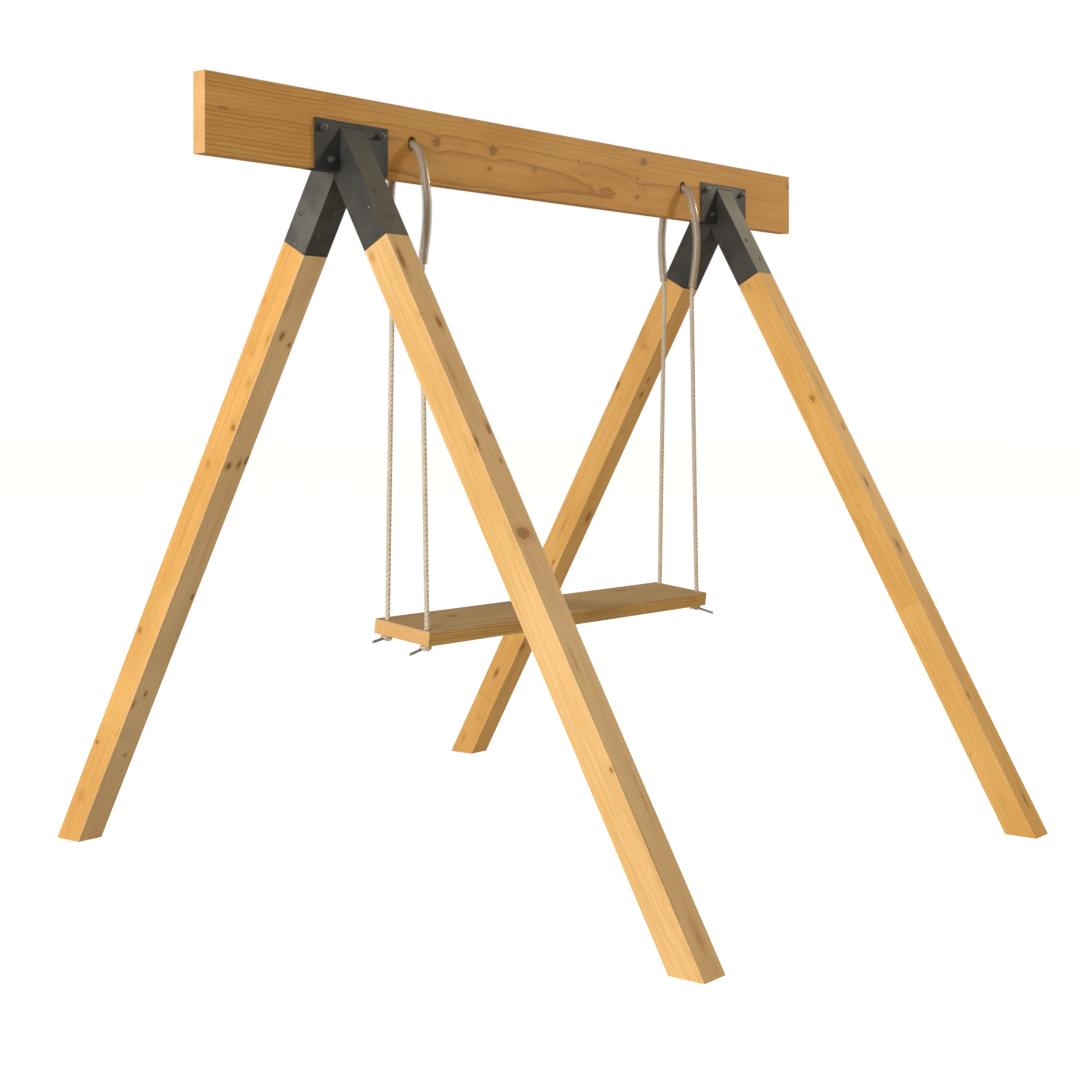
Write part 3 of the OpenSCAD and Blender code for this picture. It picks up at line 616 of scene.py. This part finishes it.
for side in ("left", "right"):
    for end in ("front", "rear"):
        n = f"bracket_{end}_{side}"
        ease(n, 0.0013, 3, M_REAR if n == "bracket_rear_left" else M_STEEL[side])
        s = f"post_screws_{end}_{side}"
        ease(s, 0.00035, 2, M_SCREW)
        # The weld round the sleeve's head, a bead with the ripples of each pass
        y = -1 if end == "front" else 1
        x0 = XL if side == "left" else XR
        za = TOP_Z - (PLATE_Y - 0.019) / math.tan(LEAN)
        hw = POST_W / 2
        pts = [(x0 - hw - 0.0006, y * (PLATE_Y + 0.0006), BEAM_Z + 0.004), (x0 - hw - 0.0006, y * (PLATE_Y + 0.0006), za - 0.004),
               (x0 - hw + 0.003, y * (PLATE_Y + 0.0006), za + 0.0006), (x0 + hw - 0.003, y * (PLATE_Y + 0.0006), za + 0.0006),
               (x0 + hw + 0.0006, y * (PLATE_Y + 0.0006), za - 0.004), (x0 + hw + 0.0006, y * (PLATE_Y + 0.0006), BEAM_Z + 0.004)]
        dense = []
        for p0, p1 in zip(pts[:-1], pts[1:]):
            k = max(2, int(math.dist(p0, p1) / 0.0007))
            dense += [tuple(np.array(p0) + (np.array(p1) - np.array(p0)) * i / k) for i in range(k)]
        dense = np.array(dense + [pts[-1]])
        s_along = np.arange(len(dense)) * 0.0007
        rad = 0.0014 + 0.00025 * np.abs(np.sin(s_along * math.pi / 0.0031)) + 0.00012 * np.sin(s_along * 61)
        rad[:3] *= (0.35, 0.7, 0.9)
        rad[-3:] *= (0.9, 0.7, 0.35)
        bead = add_mesh(f"weld_bead_{end}_{side}", *tube(dense, rad, 10, ref=(0, 1, 0)), M_STEEL[side])
        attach(bead, "frame")

# Painted shade: a thin dark sheet between the beam's underside and the sleeves' heads stands in for the shade there; it
# spans each bracket and thins towards its ends
M_SHADE_STRIP = steel("painted_shade_strip", (0.030, 0.029, 0.027), (0.055, 0.052, 0.047), rough=0.72, metal=0.0, seed=4.4, up_sheen=0.0)
for side, x0 in (("left", XL), ("right", XR)):
    hw = (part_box(f"bracket_front_{side}")[1].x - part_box(f"bracket_front_{side}")[0].x) / 2 - 0.0012
    ys = np.linspace(-BEAM_T / 2 + 0.0002, BEAM_T / 2 - 0.0002, 11)
    xs = np.linspace(-hw, hw, 61)
    top, low = [], []
    for yy in ys:
        for xx in xs:
            edge = min(1.0, (hw - abs(xx)) / 0.0012)
            wav = 0.00004 * math.sin(xx * 160 + yy * 90)
            top.append((x0 + xx, yy, BEAM_Z - 0.00008))
            low.append((x0 + xx, yy, BEAM_Z - 0.00016 - 0.00024 * edge + wav * edge * 0.5))
    nx, ny = len(xs), len(ys)
    F = []
    for j in range(ny - 1):
        for i in range(nx - 1):
            q = (j * nx + i, j * nx + i + 1, (j + 1) * nx + i + 1, (j + 1) * nx + i)
            F.append(q)
            F.append(tuple(k + nx * ny for k in reversed(q)))
    rim = [i for i in range(nx)] + [j * nx + nx - 1 for j in range(1, ny)]
    rim += [(ny - 1) * nx + i for i in range(nx - 2, -1, -1)] + [j * nx for j in range(ny - 2, 0, -1)]
    for a0, a1 in zip(rim, rim[1:] + rim[:1]):
        F.append((a1, a0, a0 + nx * ny, a1 + nx * ny))
    shade_strip = add_mesh(f"painted_shade_{side}", top + low, F, M_SHADE_STRIP, sharp=40)
    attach(shade_strip, "frame")

# ---------------------------------------------------------------- bolts, washers and nuts
AF = 0.017


def bolt_spots(x0):
    return [(x0 + sx * dx, z) for sx in (-1, 1) for dx, z in ((0.120, TOP_Z - 0.025), (0.091, BEAM_Z + 0.029))]


for side, x0 in (("left", XL), ("right", XR)):
    bolts, nuts, rings = [], [], []
    for k, (bx, bz) in enumerate(bolt_spots(x0)):
        turn = 0.35 + 1.13 * k
        ref = (math.cos(turn), 0, math.sin(turn))
        face = -PLATE_Y
        # Threaded shank towards the front, chamfered at its end; 1.5 mm pitch
        prof = [(0.0, 0.0049)]
        y = 0.006
        end = 0.0168
        prof.append((y, 0.0049))
        while y < end - 0.0014:
            prof += [(y + 0.0001, 0.00435), (y + 0.00055, 0.00435), (y + 0.00095, 0.00500), (y + 0.00125, 0.00500)]
            y += 0.0015
        prof += [(end - 0.0006, 0.0044), (end, 0.0036)]
        bolts.append(lathe(prof, 28, (bx, face, bz), (0, -1, 0)))
        # Head at the rear: washer face, hexagon, chamfered top
        top = [(0.0, hexagon(AF, AF / 2 * 1.02)), (0.0007, hexagon(AF, AF / 2 * 1.10)), (0.0012, hexagon(AF)), (0.0046, hexagon(AF)),
               (0.0053, hexagon(AF, AF / 2 * 1.10)), (0.0061, hexagon(AF, AF / 2 * 1.0)), (0.0064, AF / 2 * 0.93),
               (0.0064, 0.004), (0.0060, 0.0036)]
        bolts.append(lathe(top, 60, (bx, PLATE_Y + 0.0022, bz), (0, 1, 0), ref))
        nut = [(0.0, AF / 2 * 0.96), (0.0003, hexagon(AF, AF / 2 * 1.0)), (0.0010, hexagon(AF, AF / 2 * 1.09)), (0.0016, hexagon(AF)),
               (0.0068, hexagon(AF)), (0.0075, hexagon(AF, AF / 2 * 1.09)), (0.0082, hexagon(AF, AF / 2 * 1.0)),
               (0.0084, AF / 2 * 0.95), (0.0084, 0.0056), (0.0078, 0.0052)]
        nuts.append(lathe(nut, 60, (bx, face - 0.0021, bz), (0, -1, 0), ref))
        for y0, d in ((face, -1), (PLATE_Y, 1)):
            rings.append(lathe([(0.0, 0.0102), (0.0003, 0.0105), (0.0016, 0.0105), (0.0020, 0.0101), (0.0020, 0.0058),
                                (0.0017, 0.0055)], 44, (bx, y0, bz), (0, d, 0)))
    for nm, parts, node in (("bolts", bolts, "bracket_bolts"), ("nuts", nuts, "bolt_nuts"), ("washers", rings, "bolt_washers")):
        o = add_mesh(f"through_{nm}_{side}", *join(parts), M_BOLT, sharp=40)
        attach(o, "frame")
        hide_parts(f"{node}_{side}")

# ---------------------------------------------------------------- hoses and ropes
# Points (distance from the beam's middle plane, height over its underside), as the CAD routes them.
ARCH = [(0, 112), (12, 111.5), (24, 109), (34, 103), (43, 93), (51, 80), (58, 63), (64, 43), (69, 21), (74, -7),
        (78, -37), (80.5, -62)]
TAIL = {"front": [(81, -87), (80.5, -115), (78, -145), (73, -180), (67.5, -215), (62.5, -247)],
        "rear": [(70.5, -87), (70, -115), (68, -145), (65, -180), (62.5, -205), (61, -220)]}
RUN = {"front": [(81, -87), (80.5, -115), (78, -145), (73, -180), (67.5, -215), (63.5, -242), (61, -265), (60, -300), (60, -330)],
       "rear": [(70.5, -87), (70, -115), (68, -145), (65, -180), (61.5, -215), (59.8, -242), (59, -265), (59, -300), (59.5, -330)]}
ROPE_R, HOSE_R, HOSE_BORE = 0.008, 0.014, 0.0102
LAY = 0.045


def half_line(end, pts):
    squeeze = (lambda a: a) if end == "front" else (lambda a: a if a <= 24 else 24 + (a - 24) * 0.816)
    return [(squeeze(a), h) for a, h in ARCH] + pts[end]


def in_plane(x, end, pts):
    s = -1 if end == "front" else 1
    return [(x, s * a / 1000, BEAM_Z + h / 1000) for a, h in pts]


def tip(end):
    """The middle of the rope's round tip, 3 mm above the board's face."""
    s = -1 if end == "front" else 1
    return seat_o + seat_y * (s * HOLE_Y) + seat_n * 0.003


def laid_rope(name, path, q, s0, s1, radius=ROPE_R, lay=LAY, sides=10, phase=0.0, ref=(1, 0, 0)):
    """Three strands pressed together and twisted round a line, from s0 to s1 along it: one skin with three lobes."""
    rs, rh = radius * 0.66, radius * 0.34
    step = lay / 24
    n = max(6, int((s1 - s0) / step) + 1)
    s = np.linspace(s0, s1, n)
    t, a, b = frames(path, ref)
    at = lambda arr: np.stack([np.interp(s, q, arr[:, k]) for k in range(3)], 1)
    c, ta, aa = at(path), at(t), at(a)
    ta /= np.linalg.norm(ta, axis=1)[:, None]
    aa -= ta * (aa * ta).sum(1)[:, None]
    aa /= np.linalg.norm(aa, axis=1)[:, None]
    bb = np.cross(ta, aa)
    m = 3 * sides
    d = np.linspace(-math.pi / 3, math.pi / 3, sides + 1)                       # across one lobe, valley to valley
    r = rh * np.cos(d) + np.sqrt(rs**2 - (rh * np.sin(d)) ** 2)
    u = np.arctan2(r * np.sin(d), r * np.cos(d) - rh) / (2 * math.pi) + 0.5
    ang = np.concatenate([d[:-1] + k * 2 * math.pi / 3 for k in range(3)])
    rad = np.tile(r[:-1], 3)
    th = phase + 2 * math.pi * s / lay
    V = []
    for i in range(n):
        w = ang + th[i]
        V.append(c[i] + rad[:, None] * (np.cos(w)[:, None] * aa[i] + np.sin(w)[:, None] * bb[i]))
    F, UV = [], []
    for i in range(n - 1):
        for j in range(m):
            j2, l = (j + 1) % m, j % sides
            F.append((i * m + j, i * m + j2, (i + 1) * m + j2, (i + 1) * m + j))
            UV += [(u[l], s[i]), (u[l + 1], s[i]), (u[l + 1], s[i + 1]), (u[l], s[i + 1])]
    F.append(tuple(reversed(range(m))))
    UV += [(u[j % sides], s[0]) for j in reversed(range(m))]
    F.append(tuple((n - 1) * m + j for j in range(m)))
    UV += [(u[j % sides], s[-1]) for j in range(m)]
    return add_mesh(name, np.vstack(V), F, M_ROPE, uv=UV)


def hose_half(name, path, s_uv, sides=36):
    """Half of a hose, open at both ends with rounded rims: outside, end rim, inside, hidden rim in the beam."""
    t, a, b = frames(path, (1, 0, 0))
    ang = np.linspace(0, 2 * math.pi, sides, endpoint=False)
    rows, ss = [], []

    def ringrow(i, r, push=0.0):
        rows.append(path[i] + t[i] * push + r * (np.cos(ang)[:, None] * a[i] + np.sin(ang)[:, None] * b[i]))
        ss.append(s_uv[i])

    last = len(path) - 1
    for i in range(last + 1):
        ringrow(i, HOSE_R * (1 + 0.006 * math.sin(s_uv[i] * 90) + 0.004 * math.sin(s_uv[i] * 233)))
    m = (HOSE_R + HOSE_BORE) / 2
    h = (HOSE_R - HOSE_BORE) / 2
    for ph in (20, 50, 90, 130, 160):
        ringrow(last, m + h * math.cos(math.radians(ph)), 0.0012 * math.sin(math.radians(ph)))
    for i in range(last, -1, -1):
        ringrow(i, HOSE_BORE)
    v = np.vstack(rows)
    R = len(rows)
    f = grid_faces(R, sides)
    f += [((R - 1) * sides + k, (R - 1) * sides + (k + 1) % sides, (k + 1) % sides, k) for k in range(sides)]
    uv = []
    for face in f:
        ks = [i % sides for i in face]
        rs = [i // sides for i in face]
        wrap = max(ks) == sides - 1 and min(ks) == 0
        uv += [((k + (sides if wrap and k == 0 else 0)) / sides, ss[r]) for k, r in zip(ks, rs)]
    return add_mesh(name, v, f, M_HOSE, uv=uv, sharp=60)


KNOT_Z = -SEAT_T - 0.010
ends = {}
for side, x in ROPE_X.items():
    for end in ("front", "rear"):
        tag = f"{end}_{side}"
        body = f"{end}_ropes"
        sy = -1 if end == "front" else 1
        # Hose, from the middle of the beam to its open end
        hp, hq = spline(in_plane(x, end, half_line(end, TAIL)), 0.004)
        hose = hose_half(f"hose_{tag}", hp, hq)
        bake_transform(hose)
        # Rope, from the middle of the beam to the board
        pts = in_plane(x, end, half_line(end, RUN))
        p_tip = tip(end) + X * x
        p_tip.x = x
        last = Vector(pts[-1])
        pts += [tuple(last.lerp(p_tip, k / 8)) for k in range(1, 8)]
        if end == "front":
            pts += [tuple(p_tip - seat_n * d) for d in (0.0, 0.020, 0.040, 0.054)]
        else:
            pts += [tuple(p_tip), tuple(p_tip - seat_n * 0.0065)]
        rp, rq = spline(pts, 0.002)
        cut = float(rq[np.argmin(np.abs(rp[:, 2] - (BEAM_Z - 0.62)))])
        upper = laid_rope(f"rope_upper_{tag}", rp, rq, 0.0, cut + 0.0002)
        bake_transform(upper)
        lower = laid_rope(f"rope_lower_{tag}", rp, rq, cut, rq[-1])
        if end == "front":
            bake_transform(lower)
            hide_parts(f"rope_{tag}")
        else:
            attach(lower, body)
            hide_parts(f"rope_{tag}")
        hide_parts(f"hose_tail_{tag}")
        ends[tag] = (x, sy)
    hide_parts(f"hose_arch_{side}")
    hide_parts(f"rope_bridge_{side}")

# ---------------------------------------------------------------- knots and toggle pins
PINS = {"front_left": (180, 12), "rear_left": (188, 5), "front_right": (-63, 12), "rear_right": (15, 8)}
PIN_R, PIN_LONG, PIN_SHORT = 0.0045, 0.068, 0.022


def on_seat(x, a, h):
    return Vector((x, 0, SEAT_Z)) + seat_y * a + seat_n * h


for tag, (x, sy) in ends.items():
    c = on_seat(x, sy * HOLE_Y, KNOT_Z)
    # A rope stopper: the end is taken round in a trefoil and drawn down on the pin
    tt = np.linspace(0, 2 * math.pi, 190)
    R0, R1, H1, rr = 0.0113, 0.0028, 0.0036, 0.0058
    ang = 2 * tt + math.radians(PINS[tag][0])
    rad = R0 + R1 * np.cos(3 * tt)
    loc = np.stack([rad * np.cos(ang), rad * np.sin(ang), H1 * np.sin(3 * tt)], 1)
    pth = np.array([c + X * float(p[0]) + seat_y * float(p[1]) + seat_n * float(p[2]) for p in loc])
    q = np.concatenate([[0], np.cumsum(np.linalg.norm(np.diff(pth, axis=0), axis=1))])
    knot = laid_rope(f"stopper_knot_{tag}", pth, q, 0.0, q[-1], radius=rr, lay=0.030, sides=10, ref=tuple(seat_n))
    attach(knot, "seat")
    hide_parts(f"rope_knot_{tag}")
    # The rope in the hole, down to the knot
    top = -0.0040 if tag.startswith("rear") else -0.0500
    sp = np.array([on_seat(x, sy * HOLE_Y, h) for h in np.linspace(top, -SEAT_T - 0.006, 24)])
    sq = np.concatenate([[0], np.cumsum(np.linalg.norm(np.diff(sp, axis=0), axis=1))])
    if tag.startswith("rear"):
        stub = laid_rope(f"rope_stub_{tag}", sp, sq, 0.0, sq[-1], phase=1.0)
        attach(stub, "seat")
    turn, droop = (math.radians(a) for a in PINS[tag])
    flat = X * math.cos(turn) + seat_y * math.sin(turn)
    d = flat * math.cos(droop) - seat_n * math.sin(droop)
    L = PIN_LONG + PIN_SHORT
    prof = [(0, 0.0026), (0.0004, 0.0036), (0.0011, 0.0043), (0.0018, PIN_R)]
    prof += [(L * k / 12, PIN_R * (1 + 0.004 * math.sin(k * 2.1))) for k in range(1, 12)]
    prof += [(L - 0.0018, PIN_R), (L - 0.0011, 0.0043), (L - 0.0004, 0.0036), (L, 0.0026)]
    pin = add_mesh(f"toggle_rod_{tag}", *lathe(prof, 32, tuple(c - d * PIN_SHORT), tuple(d)), M_ROD, sharp=40)
    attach(pin, "seat")
    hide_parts(f"toggle_pin_{tag}")

# ---------------------------------------------------------------- floor, light and camera
g = Tree("floor")
fp = g.node("ShaderNodeTexCoord").outputs["Object"]
lp = g.node("ShaderNodeLightPath")
# The paper is bright to look at, and sends little light up into the timber
pale = g.node("ShaderNodeBsdfDiffuse", {"Color": g.mix(g.noise(fp, 0.6, 3.0, 0.5), (0.60, 0.60, 0.595), (0.64, 0.64, 0.635))})
glow = g.node("ShaderNodeEmission", {"Color": (1.0, 1.0, 1.0), "Strength": 0.86})
seen = g.node("ShaderNodeAddShader", {0: pale.outputs[0], 1: glow.outputs[0]})
dim = g.node("ShaderNodeBsdfDiffuse", {"Color": (0.64, 0.63, 0.61)})
mx = g.node("ShaderNodeMixShader", {0: lp.outputs["Is Camera Ray"], 1: dim.outputs[0], 2: seen.outputs[0]})
g.t.links.new(mx.outputs[0], g.node("ShaderNodeOutputMaterial").inputs[0])
me = bpy.data.meshes.new("floor")
me.from_pydata([(-60, -60, 0), (60, -60, 0), (60, 60, 0), (-60, 60, 0)], [], [(0, 1, 2, 3)])
me.materials.append(g.mat)
floor = bpy.data.objects.new("floor", me)
scene.collection.objects.link(floor)

world = bpy.data.worlds.new("world")
scene.world = world
world.use_nodes = True
wt = world.node_tree
wt.nodes.clear()
bg_light = wt.nodes.new("ShaderNodeBackground")
# The room's light is warm and comes from its walls more than from above
wc = wt.nodes.new("ShaderNodeTexCoord")
wx = wt.nodes.new("ShaderNodeSeparateXYZ")
wr = wt.nodes.new("ShaderNodeValToRGB")
wr.color_ramp.elements[0].position, wr.color_ramp.elements[0].color = 0.05, (0.48, 0.415, 0.305, 1)
wr.color_ramp.elements[1].position, wr.color_ramp.elements[1].color = 0.85, (0.17, 0.158, 0.135, 1)
wt.links.new(wc.outputs["Generated"], wx.inputs[0])
wt.links.new(wx.outputs["Z"], wr.inputs[0])
wt.links.new(wr.outputs[0], bg_light.inputs[0])
bg_light.inputs[1].default_value = 1.0
bg_seen = wt.nodes.new("ShaderNodeBackground")
bg_seen.inputs[0].default_value = (1, 1, 1, 1)
bg_seen.inputs[1].default_value = 1.0
wlp = wt.nodes.new("ShaderNodeLightPath")
wm = wt.nodes.new("ShaderNodeMixShader")
wo = wt.nodes.new("ShaderNodeOutputWorld")
wt.links.new(wlp.outputs["Is Camera Ray"], wm.inputs[0])
wt.links.new(bg_light.outputs[0], wm.inputs[1])
wt.links.new(bg_seen.outputs[0], wm.inputs[2])
wt.links.new(wm.outputs[0], wo.inputs[0])


def area(name, at, look, size, watts, colour=(1, 1, 1)):
    d = bpy.data.lights.new(name, "AREA")
    d.shape, d.size, d.energy, d.color = "SQUARE", size, watts, colour
    o = bpy.data.objects.new(name, d)
    scene.collection.objects.link(o)
    o.location = at
    o.rotation_mode = "QUATERNION"
    o.rotation_quaternion = (Vector(look) - Vector(at)).to_track_quat("-Z", "Y")
    return o


area("left_soft", (-16.0, -1.2, 3.6), (0, 0, 1.2), 8.5, 2280, (1.0, 0.995, 0.98))
area("key_right", (8.6, -4.4, 5.2), (0, 0, 1.4), 0.9, 340, (1.0, 0.90, 0.72))
area("right_rim", (5.5, -1.2, 4.3), (1.0, -0.3, 2.0), 1.6, 26, (1.0, 0.92, 0.78))
area("overhead", (0.0, 0.0, 8.5), (0, 0, 0), 7.0, 40)

cam_d = bpy.data.cameras.new("camera")
cam = bpy.data.objects.new("camera", cam_d)
scene.collection.objects.link(cam)
scene.camera = cam
cam_d.sensor_width = 36.0
cam_d.lens = 1882.73 / 1080 * 36
cam_d.shift_x = 0.0
cam_d.shift_y = -(540 - 405.02) / 1080
cam_d.clip_start, cam_d.clip_end = 0.1, 200
cam.location = (-4.8626, -3.8040, 1.4191)
cam.rotation_euler = (math.radians(90), 0, -0.90308)

scene.view_settings.view_transform = "Standard"
scene.view_settings.look = "None"
